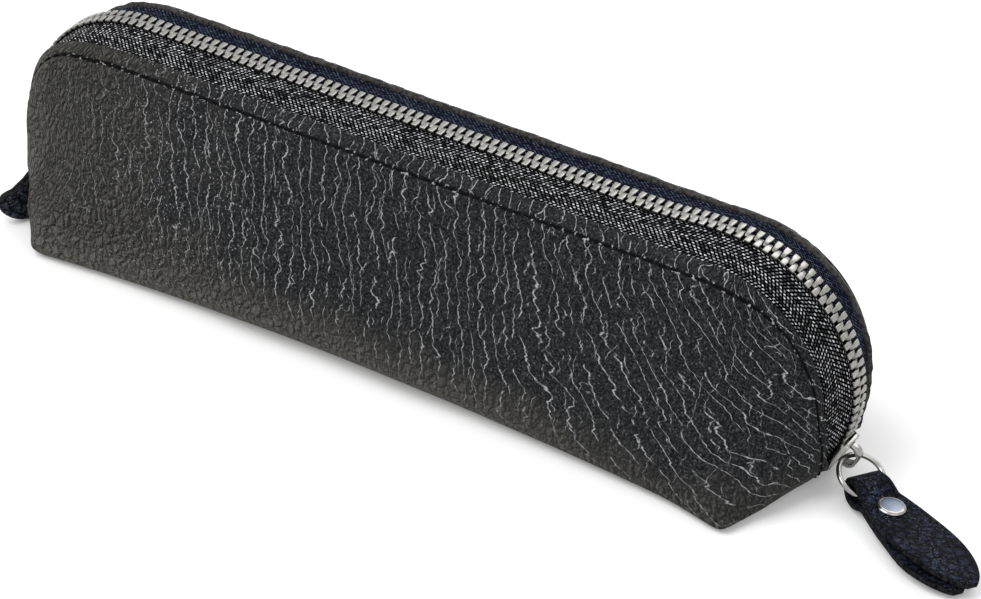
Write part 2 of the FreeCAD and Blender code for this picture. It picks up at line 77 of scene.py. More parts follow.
def chainTurn(along):
    run = max(-zipArch["straightHalf"], min(zipArch["straightHalf"], along))
    return run, (along - run) / zipArch["radius"]


def slackAt(along):
    # 1 where the chain is free to sink, 0 near its ends
    start, full = [-lengthTo(angle) for angle in zipArch["slackAngles"]]
    return smoothStep(start, full, along) * (1 - smoothStep(*zipArch["slackStop"], along))


def onChain(along, across, depth):
    # a point by its length along the chain, its side and its depth inward, in metres
    run, angle = chainTurn(along)
    slack = slackAt(along)
    reach = zipArch["radius"] - depth - zipArch["sag"] * slack
    across -= zipArch["lean"] * slack
    return Vector((run + reach * math.sin(angle), across, archZ + reach * math.cos(angle))) * mm


def linkObject(name, data):
    thing = bpy.data.objects.new(name, data)
    bpy.context.scene.collection.objects.link(thing)
    return thing


def addPiece(name, mesh, material, body):
    piece = linkObject(name, mesh)
    mesh.materials.append(material)
    for face in mesh.polygons:
        face.use_smooth = True
    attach(piece, body)
    return piece


def gridPiece(name, rows, material, body, uvOf=None, closed=False):
    # a skin through rows of points, each row as long as the next
    mesh = bpy.data.meshes.new(name)
    count = len(rows[0])
    points = [tuple(point) for row in rows for point in row]
    faces = []
    for r in range(len(rows) - 1):
        for c in range(count if closed else count - 1):
            n = (c + 1) % count
            faces.append((r * count + c, (r + 1) * count + c, (r + 1) * count + n, r * count + n))
    mesh.from_pydata(points, [], faces)
    if closed:
        faceOutward(mesh)
    if uvOf:
        layer = mesh.uv_layers.new(name="grain")
        for loop in mesh.loops:
            layer.data[loop.index].uv = uvOf(loop.vertex_index // count, loop.vertex_index % count)
    return addPiece(name, mesh, material, body)


def faceOutward(mesh):
    shape = bmesh.new()
    shape.from_mesh(mesh)
    bmesh.ops.remove_doubles(shape, verts=shape.verts, dist=1e-7)
    bmesh.ops.recalc_face_normals(shape, faces=shape.faces)
    shape.to_mesh(mesh)
    shape.free()


def thicken(piece, thickness, offset=-1.0, rim=None):
    # gives a skin its wall, with a finish of its own on the cut edge where rim is given
    wall = piece.modifiers.new("thickness", "SOLIDIFY")
    wall.thickness = thickness
    wall.offset = offset
    wall.use_even_offset = False
    if rim:
        piece.data.materials.append(rim)
        wall.material_offset_rim = 1
    return wall


def easeEdges(piece, width, angle):
    ease = piece.modifiers.new("easedEdges", "BEVEL")
    ease.width = width
    ease.segments = 2
    ease.limit_method = "ANGLE"
    ease.angle_limit = math.radians(angle)
    return ease


# node helpers for the finishes
def newNode(tree, kind, **settings):
    node = tree.nodes.new("ShaderNode" + kind)
    for key, value in settings.items():
        setattr(node, key, value)
    return node


def setInputs(node, inputs):
    # a socket is linked, a plain value is set on the node's own socket
    for key, value in inputs.items():
        if isinstance(value, bpy.types.NodeSocket):
            node.id_data.links.new(value, node.inputs[key])
        else:
            node.inputs[key].default_value = value


def addNode(kind, inputs, **settings):
    # the new node joins the tree that its linked inputs belong to
    linked = [value for value in inputs.values() if isinstance(value, bpy.types.NodeSocket)]
    node = newNode(linked[0].id_data, kind, **settings)
    setInputs(node, inputs)
    return node.outputs


def mathNode(operation, first, second=0.0, clamp=False):
    return addNode("Math", {0: first, 1: second}, operation=operation, use_clamp=clamp)[0]


def plus(first, second):
    return mathNode("ADD", first, second)


def minus(first, second, clamp=False):
    return mathNode("SUBTRACT", first, second, clamp)


def times(first, second, clamp=False):
    return mathNode("MULTIPLY", first, second, clamp)


def over(first, second):
    return mathNode("DIVIDE", first, second)


def rangeNode(value, fromLow, fromHigh, toLow=0.0, toHigh=1.0):
    return addNode("MapRange", {
        "Value": value, "From Min": fromLow, "From Max": fromHigh, "To Min": toLow, "To Max": toHigh})[0]


def between(share, low, high):
    return rangeNode(share, 0.0, 1.0, low, high)


def mixColour(factor, first, second):
    return addNode("Mix", {0: factor, 6: first, 7: second}, data_type="RGBA")[2]


def vectorNode(operation, first, second=None, scale=None):
    inputs = {0: first}
    if second is not None:
        inputs[1] = second
    if scale is not None:
        inputs["Scale"] = scale
    return addNode("VectorMath", inputs, operation=operation)


def noiseNode(place, scale, detail):
    return addNode("TexNoise", {"Vector": place, "Scale": scale, "Detail": detail})


def strayBy(place, scale, reach):
    # a place pushed about by noise
    centred = vectorNode("SUBTRACT", noiseNode(place, scale, 2.0)["Color"], (0.5, 0.5, 0.5))[0]
    return vectorNode("ADD", place, vectorNode("SCALE", centred, scale=reach)[0])[0]


def axesOf(vector):
    return addNode("SeparateXYZ", {0: vector})


def joinAxes(x, y, z):
    return addNode("CombineXYZ", {0: x, 1: y, 2: z})[0]


def bumpNode(strength, depth, height):
    return addNode("Bump", {"Strength": strength, "Distance": depth, "Height": height})[0]


def objectPlace(tree):
    return newNode(tree, "TexCoord").outputs["Object"]


def unrolledPlace(tree):
    return newNode(tree, "UVMap", uv_map="grain").outputs[0]


def placeGroup(group, **inputs):
    return addNode("Group", inputs, node_tree=group)


def newGroup(name, values, outputs):
    # every group takes a place and some plain numbers, and puts out numbers
    group = bpy.data.node_groups.new(name, "ShaderNodeTree")
    group.interface.new_socket(name="Vector", in_out="INPUT", socket_type="NodeSocketVector")
    for key, value in values.items():
        socket = group.interface.new_socket(name=key, in_out="INPUT", socket_type="NodeSocketFloat")
        socket.default_value = value
    for key in outputs:
        group.interface.new_socket(name=key, in_out="OUTPUT", socket_type="NodeSocketFloat")
    return group, group.nodes.new("NodeGroupInput").outputs, group.nodes.new("NodeGroupOutput")


def newMaterial(name):
    material = bpy.data.materials.new(name)
    material.use_nodes = True
    return material, material.node_tree, material.node_tree.nodes["Principled BSDF"]


def buildPebbleGroup():
    # grain of the leathers: cells drawn out upright, each one a small pillow with finer dimples
    group, inside, outside = newGroup(
        "pebbleGrain", {"Width": 2.8, "Stretch": 2.6, "Wander": 0.5}, ["Height", "Speckle"])
    place = inside["Vector"]
    moved = strayBy(place, 420.0, times(inside["Wander"], 0.004))
    flat = over(1 / mm, inside["Width"])
    squeeze = joinAxes(flat, flat, over(flat, inside["Stretch"]))
    spot = vectorNode("MULTIPLY", moved, squeeze)[0]
    nearest = addNode("TexVoronoi", {"Vector": spot, "Scale": 1.0}, feature="F1")["Position"]
    second = addNode("TexVoronoi", {"Vector": spot, "Scale": 1.0}, feature="F2")["Position"]
    fine = addNode("TexVoronoi", {"Vector": spot, "Scale": 2.3}, feature="DISTANCE_TO_EDGE")[0]
    across = vectorNode("SUBTRACT", second, nearest)[0]
    half = vectorNode("SCALE", vectorNode("ADD", second, nearest)[0], scale=0.5)[0]
    inner = vectorNode("DOT_PRODUCT", vectorNode("SUBTRACT", half, spot)[0], across)["Value"]
    steep = vectorNode("LENGTH", vectorNode("MULTIPLY", across, squeeze)[0])["Value"]
    gap = times(over(inner, steep), 1 / mm)
    pillow = rangeNode(gap, 0.0, 0.7)
    dimple = rangeNode(fine, 0.0, 0.22, 0.0, 0.4)
    speck = noiseNode(place, 2300.0, 2.0)["Fac"]
    height = plus(plus(pillow, dimple), times(speck, 0.3))
    setInputs(outside, {"Height": height, "Speckle": speck})
    return group


def buildStringGroup():
    # long creases that run down the panel, wander, break up into beads and now and then join
    group, inside, outside = newGroup(
        "grainStrings", {"Spacing": 2.7, "Line": 0.26, "Shift": 0.0, "Gaps": 0.45}, ["String", "Height"])
    moved = vectorNode("ADD", inside["Vector"], joinAxes(0.0, inside["Shift"], inside["Shift"]))[0]
    slow = noiseNode(vectorNode("MULTIPLY", moved, (130.0, 130.0, 110.0))[0], 1.0, 1.0)["Fac"]
    quick = noiseNode(vectorNode("MULTIPLY", moved, (170.0, 170.0, 620.0))[0], 1.0, 3.0)["Fac"]
    sway = plus(between(slow, -1.1, 1.1), between(quick, -0.42, 0.42))
    steps = over(axesOf(inside["Vector"])[0], times(inside["Spacing"], mm))
    phase = mathNode("FRACT", plus(steps, sway))
    gap = times(mathNode("ABSOLUTE", minus(phase, 0.5)), inside["Spacing"])
    line = minus(1.0, over(gap, inside["Line"]), True)
    patches = noiseNode(moved, 330.0, 1.0)["Fac"]
    kept = rangeNode(patches, inside["Gaps"], plus(inside["Gaps"], 0.12))
    beads = noiseNode(moved, 1500.0, 2.0)["Fac"]
    broken = times(kept, rangeNode(beads, 0.38, 0.58, 0.2, 1.0))
    groove = rangeNode(gap, 0.0, 0.6, -1.0, 0.0)
    setInputs(outside, {"String": times(line, broken), "Height": times(groove, kept)})
    return group


def buildTwillGroup():
    # herringbone weave: rows of short slanting floats, leaning the other way in every other band
    group, inside, outside = newGroup(
        "twillWeave", {"Row": 0.47, "Pitch": 1.0, "Band": 5.0}, ["Glint", "Height"])
    parts = axesOf(strayBy(inside["Vector"], 900.0, 0.0003))
    along = over(times(parts[0], 1 / mm), inside["Pitch"])
    across = over(times(parts[1], 1 / mm), inside["Row"])
    row = mathNode("FLOOR", across)
    inRow = minus(mathNode("FRACT", across), 0.5)
    band = mathNode("FLOOR", over(row, inside["Band"]))
    odd = mathNode("MODULO", mathNode("ABSOLUTE", band), 2.0)
    slant = times(between(odd, -1.0, 1.0), times(inRow, 0.5))
    turn = plus(along, plus(slant, times(row, 0.5)))
    middle = mathNode("ABSOLUTE", minus(mathNode("FRACT", turn), 0.5))
    dash = times(rangeNode(middle, 0.16, 0.3, 1.0, 0.0),
                 rangeNode(mathNode("ABSOLUTE", inRow), 0.14, 0.34, 1.0, 0.0))
    thread = joinAxes(mathNode("FLOOR", turn), row, 0.0)
    each = addNode("TexWhiteNoise", {"Vector": thread}, noise_dimensions="2D")["Value"]
    bright = between(mathNode("POWER", each, 1.4), 0.03, 1.0)
    setInputs(outside, {"Glint": times(dash, bright), "Height": dash})
    return group


pebbleGrain = buildPebbleGroup()
grainStrings = buildStringGroup()
twillWeave = buildTwillGroup()

# places along the case and heights are metres, as the shader reads them
hideLook = {
    "spacing": 2.9, "line": 0.13, "gaps": 0.36, "stringMix": 2.0,
    "linkSpacing": 3.77, "linkGaps": 0.49, "linkShift": 0.31, "linkMix": 0.8,    # strings that cross over
    "leanFrom": (0.03, 0.09), "lean": (0.24, 0.95),              # lean of the strings along the case
    "litFrom": (-0.085, -0.04), "litAbove": (0.002, 0.014),      # the strings catch the light past these
    "shadeFrom": (-0.075, 0.085), "shadeRise": (0.008, -0.004),  # the shaded foot climbs to the far end
    # the speckles' share grows where the painted light falls
    "cell": 1.6, "stretch": 1.4, "wander": 0.22, "speckSheenMix": (0.25, 0.8),
    "paintedLightStep": (0.0003, 0.0, -0.0002),     # painted light and shade: pebbles are lighter on the side that rises this way
    "glintFrom": (-0.09, -0.06), "glintTo": (-0.05, -0.02),
    "seam": 0.0037, "seamWide": 0.0007, "seamMix": 0.92,
    # dark and light are the hide's own tone; deep is painted shade; the brown-grey beside it is a painted
    # sheen where the strings' light does not fall; foot is a painted light at the foot
    "dark": (0.002, 0.0024, 0.003, 1), "light": (0.005, 0.0057, 0.0068, 1),
    "deep": (0.0015, 0.0015, 0.0016, 1), "paintedSheen": (0.06, 0.0585, 0.055, 1), "paintedSheenMix": 0.9, "backDim": 0.5,
    "foot": (0.215, 0.202, 0.172, 1), "footFrom": (0.0, 0.013), "footTo": (0.01, 0.07),
    # the far end gets painted light too; speck is the grain's speckle, brighter under the painted light; pale
    # is the painted highlight of the strings and glints
    "farFrom": (-0.106, -0.086), "speck": (0.045, 0.047, 0.051, 1), "pale": (0.37, 0.378, 0.39, 1),
    "rough": (0.42, 0.58), "bump": 0.8, "bumpDepth": 0.0003, "gloss": 0.06,
}


def hideFinish(look):
    # black hide: painted highlights on strings down the middle that lean at the pull end, round pebbles at
    # the far end
    material, tree, shader = newMaterial("blackHide")
    place = objectPlace(tree)
    axes = axesOf(place)
    unrolled = axesOf(unrolledPlace(tree))
    along = unrolled[0]
    drop = minus(zipArch["height"] * mm, axes[2])
    leaned = minus(along, times(rangeNode(along, *look["leanFrom"], *look["lean"]), drop))
    flat = joinAxes(along, axes[1], axes[2])
    main = placeGroup(grainStrings, Vector=joinAxes(leaned, axes[1], axes[2]),
                      Spacing=look["spacing"], Line=look["line"], Gaps=look["gaps"])
    links = placeGroup(grainStrings, Vector=flat, Spacing=look["linkSpacing"], Line=look["line"],
                       Gaps=look["linkGaps"], Shift=look["linkShift"])
    cells = {"Width": look["cell"], "Stretch": look["stretch"], "Wander": look["wander"]}
    pebbles = placeGroup(pebbleGrain, Vector=flat, **cells)
    beside = placeGroup(pebbleGrain, Vector=vectorNode("ADD", flat, look["paintedLightStep"])[0], **cells)
    # the part of the panel where the strings catch the light
    stray = noiseNode(place, 90.0, 3.0)["Fac"]
    spread = plus(along, between(stray, -0.03, 0.03))
    rise = plus(axes[2], between(stray, -0.008, 0.008))
    climb = rangeNode(along, *look["shadeFrom"], *look["shadeRise"])
    lit = times(rangeNode(spread, *look["litFrom"]), rangeNode(minus(rise, climb), *look["litAbove"]))
    # black body with a painted brown-grey sheen out of that light, dimmer on the back panel, and a paler
    # painted light at the foot and the far end
    drift = noiseNode(place, 30.0, 3.0)["Fac"]
    body = mixColour(rangeNode(drift, 0.3, 0.7), look["dark"], look["light"])
    paintedSheen = times(minus(1.0, lit), look["paintedSheenMix"])
    paintedSheen = times(paintedSheen, rangeNode(axes[1], -0.008, 0.008, 1.0, look["backDim"]))
    foot = times(rangeNode(axes[2], *look["footFrom"], 1.0, 0.0), rangeNode(along, *look["footTo"], 1.0, 0.1))
    pale = mathNode("MAXIMUM", foot, rangeNode(along, *look["farFrom"], 1.0, 0.0))
    body = mixColour(paintedSheen, body, mixColour(pale, look["paintedSheen"], look["foot"]))
    # grain speckles, brighter under the painted light; painted shade in the valleys; a painted shaded side
    # and a painted lit side on each pebble; and painted glints near the far end
    slope = minus(beside["Height"], pebbles["Height"])
    unlit = between(lit, 1.0, 0.15)
    glints = times(rangeNode(spread, *look["glintFrom"]), rangeNode(spread, *look["glintTo"], 1.0, 0.22))
    layers = [
        (rangeNode(pebbles["Speckle"], 0.42, 0.66), between(lit, *look["speckSheenMix"]), "speck"),
        (rangeNode(pebbles["Height"], 0.2, 1.3, 1.0, 0.0), between(lit, 0.6, 0.2), "deep"),
        (rangeNode(slope, -0.5, 0.05, 0.8, 0.0), unlit, "deep"),
        (rangeNode(slope, 0.0, 0.5, 0.0, 0.35), unlit, "foot"),
        (rangeNode(pebbles["Speckle"], 0.65, 0.71), glints, "pale"),
    ]
    for mask, share, colour in layers:
        body = mixColour(times(mask, share), body, look[colour])
    strings = mathNode("MAXIMUM", main["String"], times(links["String"], look["linkMix"]))
    # painted highlight: the strings are pale only where the light falls on them
    shine = times(times(strings, lit), look["stringMix"], True)
    body = mixColour(shine, body, look["pale"])
    # the sewing line: a painted shade along the furrow, with a few painted glints
    offSeam = mathNode("ABSOLUTE", minus(unrolled[1], look["seam"]))
    seam = rangeNode(offSeam, look["seamWide"] * 0.5, look["seamWide"], 1.0, 0.0)
    furrowGlints = noiseNode(place, 1100.0, 1.0)["Fac"]
    furrowShadeAndGlints = mixColour(rangeNode(furrowGlints, 0.6, 0.68), look["deep"], look["pale"])
    grooves = plus(main["Height"], times(links["Height"], 0.7))
    calm = times(pebbles["Height"], between(lit, 2.2, 0.35))
    setInputs(shader, {
        "Base Color": mixColour(times(seam, look["seamMix"]), body, furrowShadeAndGlints),
        "Roughness": rangeNode(pebbles["Speckle"], 0.3, 0.7, *look["rough"]),
        "Normal": bumpNode(look["bump"], look["bumpDepth"], plus(grooves, calm)),
        "Specular IOR Level": look["gloss"]})
    return material


navyLook = {
    # dark and light are the leather's own tone; deep is painted shade in the valleys; speck is the colour of
    # a few painted glints
    "cell": 1.9, "wander": 0.2, "dark": (0.011, 0.014, 0.027, 1), "light": (0.026, 0.034, 0.066, 1),
    "deep": (0.0008, 0.0008, 0.0012, 1), "speck": (0.11, 0.12, 0.15, 1),
    "rough": 0.5, "bump": 1.0, "bumpDepth": 0.0005, "gloss": 0.05,
}
# the end tab gets a lighter copy of the navy finish as a painted sheen
tabSheenLook = {**navyLook, "dark": (0.03, 0.036, 0.052, 1), "light": (0.06, 0.072, 0.1, 1)}


def navyFinish(name, look):
    material, tree, shader = newMaterial(name)
    place = objectPlace(tree)
    grain = placeGroup(pebbleGrain, Vector=place, Width=look["cell"], Stretch=1.0, Wander=look["wander"])
    drift = noiseNode(place, 160.0, 3.0)["Fac"]
    body = mixColour(rangeNode(drift, 0.35, 0.65), look["dark"], look["light"])
    # painted shade in the valleys between the pebbles
    body = mixColour(rangeNode(grain["Height"], 0.5, 1.35, 0.97, 0.0), body, look["deep"])
    # painted glints: a few pale specks
    speckGlints = times(rangeNode(grain["Speckle"], 0.6, 0.68), rangeNode(drift, 0.42, 0.58))
    setInputs(shader, {
        "Base Color": mixColour(speckGlints, body, look["speck"]), "Roughness": look["rough"],
        "Normal": bumpNode(look["bump"], look["bumpDepth"], grain["Height"]),
        "Specular IOR Level": look["gloss"]})
    return material


def cutEdgeFinish(name, dark, light, gloss):
    material, tree, shader = newMaterial(name)
    fibres = noiseNode(objectPlace(tree), 1300.0, 4.0)["Fac"]
    setInputs(shader, {
        "Base Color": mixColour(rangeNode(fibres, 0.38, 0.64), dark, light), "Roughness": 0.7,
        "Normal": bumpNode(0.8, 0.0004, fibres), "Specular IOR Level": gloss})
    return material


def tapeFinish(name, dark, pale):
    material, tree, shader = newMaterial(name)
    weave = placeGroup(twillWeave, Vector=unrolledPlace(tree))
    setInputs(shader, {
        # painted highlights: the floats' glints are pale on the dark tape
        "Base Color": mixColour(weave["Glint"], dark, pale),
        "Roughness": between(weave["Glint"], 0.75, 0.45),
        "Normal": bumpNode(0.8, 0.00015, weave["Height"]), "Specular IOR Level": 0.015})
    return material


def metalFinish(name, dimReflection, bright, rough):
    material, tree, shader = newMaterial(name)
    # painted reflection: random darker and lighter patches stand in for varied reflections on the nickel
    cloud = noiseNode(objectPlace(tree), 900.0, 3.0)["Fac"]
    setInputs(shader, {
        "Base Color": mixColour(cloud, dimReflection, bright), "Metallic": 1.0,
        "Roughness": rangeNode(cloud, 0.3, 0.7, *rough)})
    return material


def toothFinish(flank, top, rough):
    # painted light and shade: bright on top, and a painted shade dim down the flanks where the next tooth
    # stands in the way of the light
    material, tree, shader = newMaterial("toothNickel")
    cloud = noiseNode(objectPlace(tree), 900.0, 3.0)["Fac"]
    rise = plus(axesOf(unrolledPlace(tree))[1], between(cloud, -0.25, 0.25))
    setInputs(shader, {
        "Base Color": mixColour(rangeNode(rise, 0.45, 1.05), flank, top), "Metallic": 1.0,
        "Roughness": rangeNode(cloud, 0.3, 0.7, *rough)})
    return material


def capFinish(dark, light):
    # a polished cap with a painted reflection: dim on one side, bright on the other
    material, tree, shader = newMaterial("rivetNickel")
    place = newNode(tree, "TexCoord").outputs["Generated"]
    cloud = noiseNode(place, 5.0, 3.0)["Fac"]
    side = plus(axesOf(place)[0], between(cloud, -0.15, 0.15))
    setInputs(shader, {
        "Base Color": mixColour(rangeNode(side, 0.25, 0.95), dark, light), "Metallic": 1.0,
        "Roughness": 0.24})
    return material


def clothFinish(dark, light):
    material, tree, shader = newMaterial("liningCloth")
    weave = placeGroup(twillWeave, Vector=unrolledPlace(tree), Row=0.8, Pitch=1.2)
    setInputs(shader, {"Base Color": mixColour(weave["Height"], dark, light), "Roughness": 0.85})
    return material


def threadFinish(dark, light):
    material, tree, shader = newMaterial("sewingThread")
    twist = noiseNode(objectPlace(tree), 4200.0, 2.0)["Fac"]
    setInputs(shader, {
        "Base Color": mixColour(twist, dark, light), "Roughness": 0.7, "Specular IOR Level": 0.03})
    return material


blackHide = hideFinish(hideLook)
navyLeather = navyFinish("navyLeather", navyLook)
tabSheenLeather = navyFinish("tabSheenLeather", tabSheenLook)
hideEdge = cutEdgeFinish("hideEdge", (0.009, 0.0085, 0.008, 1), (0.06, 0.056, 0.053, 1), 0.25)
tabEdge = cutEdgeFinish("tabEdge", (0.0015, 0.0015, 0.002, 1), (0.02, 0.02, 0.022, 1), 0.04)
# the pale second colours of the tapes are the weave's painted glints
frontWeave = tapeFinish("frontWeave", (0.0005, 0.0005, 0.0006, 1), (0.86, 0.87, 0.9, 1))
backWeave = tapeFinish("backWeave", (0.0016, 0.0022, 0.007, 1), (0.15, 0.18, 0.27, 1))
stopNickel = metalFinish("stopNickel", (0.198, 0.19525, 0.187, 1), (0.36, 0.355, 0.34, 1), (0.42, 0.29))
sliderNickel = metalFinish("sliderNickel", (0.231, 0.22825, 0.22, 1), (0.42, 0.415, 0.4, 1), (0.28, 0.15))
toothNickel = toothFinish((0.02, 0.02, 0.02, 1), (0.35, 0.345, 0.325, 1), (0.4, 0.26))
rivetNickel = capFinish((0.06, 0.08, 0.12, 1), (0.2, 0.225, 0.265, 1))
liningCloth = clothFinish((0.03, 0.03, 0.032, 1), (0.07, 0.07, 0.075, 1))
sewingThread = threadFinish((0.0015, 0.0015, 0.002, 1), (0.006, 0.006, 0.007, 1))
print("finishes ready")

# the hide: one skin from the front rim, under the base and up to the back rim
hide = {
    "columns": 280, "endColumns": 8, "panelRows": 64, "baseRows": 22, "smoothing": 4,
    "panelSamples": 140, "baseSamples": 40, "lowest": 0.03,
    "thickness": 1.35 * mm,
    "axis": 74.0,            # x of the upright lines the end panels turn about
    "turnScale": 20.0,       # unrolled length per radian of that turn
    "rimSearch": (18, 44),   # the rim is looked for this far from the centre of the arch
    "rimEnd": 121.0,         # degrees round the arch where the rim stops
    "lipEnd": 101.3,         # unrolled place of the rim's end
    "floor": 2.5,            # height of the opening's lower end
    "baseAtBend": 66.0,      # unrolled place of the bottom line below the start of the arch
    "stitchInset": 3.7,      # from the rim to the sewing line
    "stitchDip": 0.4, "stitchWide": 0.55,
    "farCorner": (-84.0, -26.0, 1.0), "farReach": 11.0, "farTuck": 0.5,     # front corner, sagged in
    "pullCorner": (84.0, -26.5, 0.5), "pullReach": 9.0, "pullPush": 1.7,    # front corner, standing out
    "frontTuck": 1.15,       # how far the far half of the front edge has drawn back
    "archRise": 1.6,         # how far the front rim stands up at the far arch
    "endStand": 1.9,         # how far the lower far end stands out
    "endWay": (0.84, 0.54),
    "backRise": 0.75,        # how far the back rim stands up
    "farBackRise": 0.1,      # and how much more at the far end
    "rimLump": 0.32,         # unevenness of the back rim
    "lumps": [(0.2, 4.0, 1.0), (0.6, 8.0, 0.8)],                    # its noise: scale, seed and share
    "waves": [(0.045, 0.06, 9.0, 0.5), (0.13, 0.11, 5.0, 0.16)],    # of the panels: two scales, seed, size
}
# where each change of the skin starts and where it is full
hideFades = {
    "tuckBelow": (8.0, 1.0), "tuckLift": (0.2, 1.5),
    "drawAlong": (75.0, -30.0), "drawBelow": (12.0, 2.0), "drawFront": (-2.0, -22.0),
    "riseFrom": (10.0, 40.0), "riseTo": (45.0, 78.0), "riseDeep": (0.0, 14.0),
    "standFrom": (68.0, 82.0), "standBelow": (19.0, 7.0), "standFoot": (0.0, 5.0),
    "backFar": (-45.0, -80.0), "backDeep": (0.0, 12.0), "lumpDeep": (1.0, 7.0),
    "calmDeep": (2.0, 14.0), "calmAbove": (1.0, 6.0),
}
skinTree = BVHTree.FromObject(frame["nodes"]["leather_body"], bpy.context.evaluated_depsgraph_get())


def skinAt(place, z):
    # point of the front panel at an unrolled place and a height, or None in the opening
    rayStart, leastReach = 120, 2
    turn = (abs(place) - hide["axis"]) / hide["turnScale"] if abs(place) > hide["axis"] else 0.0
    centre = Vector((math.copysign(min(abs(place), hide["axis"]), place), 0, z))
    out = Vector((math.copysign(math.sin(turn), place), -math.cos(turn), 0))
    hit = skinTree.ray_cast((centre + out * rayStart) * mm, -out)[0]
    if hit is None or (hit / mm - centre).dot(out) < leastReach:
        return None
    return hit / mm


def undersideAt(x, y):
    hit = skinTree.ray_cast(Vector((x * mm, y * mm, -0.05)), Vector((0, 0, 1)))[0]
    return hit.z / mm if hit else None


def lastOnSkin(start, end):
    # the last unrolled point from start towards end that still meets the panel
    low, high = 0.0, 1.0
    for _ in range(18):
        middle = (low + high) / 2
        if skinAt(start[0] + (end[0] - start[0]) * middle, start[1] + (end[1] - start[1]) * middle) is None:
            high = middle
        else:
            low = middle
    low = max(0.0, low - 0.001)
    return [a + (b - a) * low for a, b in zip(start, end)]


def columnEnds(number):
    # unrolled start on the rim and end on the bottom line of a column
    last = hide["columns"] - 1
    inner = hide["endColumns"]
    rimArc = math.radians(hide["rimEnd"]) * zipArch["radius"]
    half = zipArch["straightHalf"] + rimArc
    share = (number - inner) / (last - 2 * inner)
    if share < 0 or share > 1:
        past = -share if share < 0 else share - 1
        sign = -1 if share < 0 else 1
        seam = hide["axis"] + hide["turnScale"] * math.pi / 2
        place = hide["lipEnd"] + (seam - hide["lipEnd"]) * past * (last - 2 * inner) / inner
        return [sign * place, hide["floor"]], [sign * place, 0.0]
    along = (share * 2 - 1) * half
    run, angle = chainTurn(along)
    rim = lastOnSkin(*[[run + math.sin(angle) * reach, archZ + math.cos(angle) * reach]
                       for reach in hide["rimSearch"]])
    if abs(along) <= zipArch["straightHalf"]:
        place = along / zipArch["straightHalf"] * hide["baseAtBend"]
    else:
        past = (abs(along) - zipArch["straightHalf"]) / rimArc
        place = math.copysign(hide["baseAtBend"] + (hide["lipEnd"] - hide["baseAtBend"]) * past, along)
    return rim, [place, 0.0]


def spread(points, count):
    # even steps along a line of points, and the line's length
    lengths = [0.0]
    for a, b in zip(points, points[1:]):
        lengths.append(lengths[-1] + (b - a).length)
    out = []
    k = 0
    for step in range(count):
        want = lengths[-1] * step / (count - 1)
        while k < len(points) - 2 and lengths[k + 1] < want:
            k += 1
        room = lengths[k + 1] - lengths[k]
        t = (want - lengths[k]) / room if room > 1e-9 else 0.0
        out.append(points[k].lerp(points[k + 1], t))
    return out, lengths[-1]


def hideColumn(number):
    # points down the front panel and under the base to the middle, and the panel's length
    rim, bottom = columnEnds(number)
    line = []
    for k in range(hide["panelSamples"] + 1):
        t = k / hide["panelSamples"]
        point = skinAt(rim[0] + (bottom[0] - rim[0]) * t, rim[1] + (hide["lowest"] - rim[1]) * t)
        if point is not None:
            line.append(point)
    panel, panelLength = spread(line, hide["panelRows"])
    edge = panel[-1]
    under = [edge]
    for k in range(1, hide["baseSamples"] + 1):
        y = edge.y * (1 - k / hide["baseSamples"])
        z = undersideAt(edge.x, y)
        under.append(Vector((edge.x, y, under[-1].z if z is None else min(z, edge.z))))
    return panel + spread(under, hide["baseRows"])[0][1:], panelLength


def smoothGrid(grid, rounds):
    # relaxes the skin so that folds turn softly, leaving its border alone
    for _ in range(rounds):
        before = [[p.copy() for p in row] for row in grid]
        for r in range(1, len(grid) - 1):
            for c in range(1, len(grid[0]) - 1):
                around = before[r - 1][c] + before[r + 1][c] + before[r][c - 1] + before[r][c + 1]
                grid[r][c] = before[r][c] * 0.4 + around * 0.15
                grid[r][c].z = max(grid[r][c].z, 0.02)


def hideRows():
    # the back half mirrors the front half
    columns = [hideColumn(k) for k in range(hide["columns"])]
    half = len(columns[0][0])
    rows = [[points[r].copy() for points, length in columns] for r in range(half)]
    for r in range(half - 2, -1, -1):
        rows.append([Vector((points[r].x, -points[r].y, points[r].z)) for points, length in columns])
    smoothGrid(rows, hide["smoothing"])
    return rows, [length for points, length in columns]


hideGrid, panelLengths = hideRows()


def rowStep(column):
    return panelLengths[column] / (hide["panelRows"] - 1)


def rimDistance(row, column):
    return min(row, len(hideGrid) - 1 - row) * rowStep(column)


def fade(name, value):
    return smoothStep(*hideFades[name], value)


def moveFront(point, fromRim):
    # the far corner and edge sag in, the pull-end corner and the far end stand out, the far rim rises
    tuck = bell((point - Vector(hide["farCorner"])).length, hide["farReach"]) * hide["farTuck"]
    tuck *= fade("tuckBelow", point.z)
    draw = fade("drawAlong", point.x) * fade("drawBelow", point.z) * hide["frontTuck"]
    draw *= fade("drawFront", point.y)
    push = bell((point - Vector(hide["pullCorner"])).length, hide["pullReach"]) * hide["pullPush"]
    out = Vector((point.x + zipArch["straightHalf"], 0, point.z - archZ))
    angle = math.degrees(math.atan2(-out.x, out.z)) if out.length > 1 else 0.0
    rise = hide["archRise"] * fade("riseFrom", angle) * (1 - fade("riseTo", angle))
    rise *= 1 - fade("riseDeep", fromRim)
    wayX, wayY = hide["endWay"]
    facing = -(point.x * wayX + point.y * wayY)
    stand = hide["endStand"] * fade("standFrom", facing) * fade("standBelow", point.z)
    stand *= 0.15 + 0.85 * fade("standFoot", point.z)
    point.x -= stand * wayX
    point.y -= stand * wayY
    point.x += tuck * 0.75 + push * 0.45
    point.y += tuck * 0.6 + draw - push * 0.9
    point.z += tuck * 0.35 * fade("tuckLift", point.z)
    if rise > 0:
        point += out.normalized() * rise


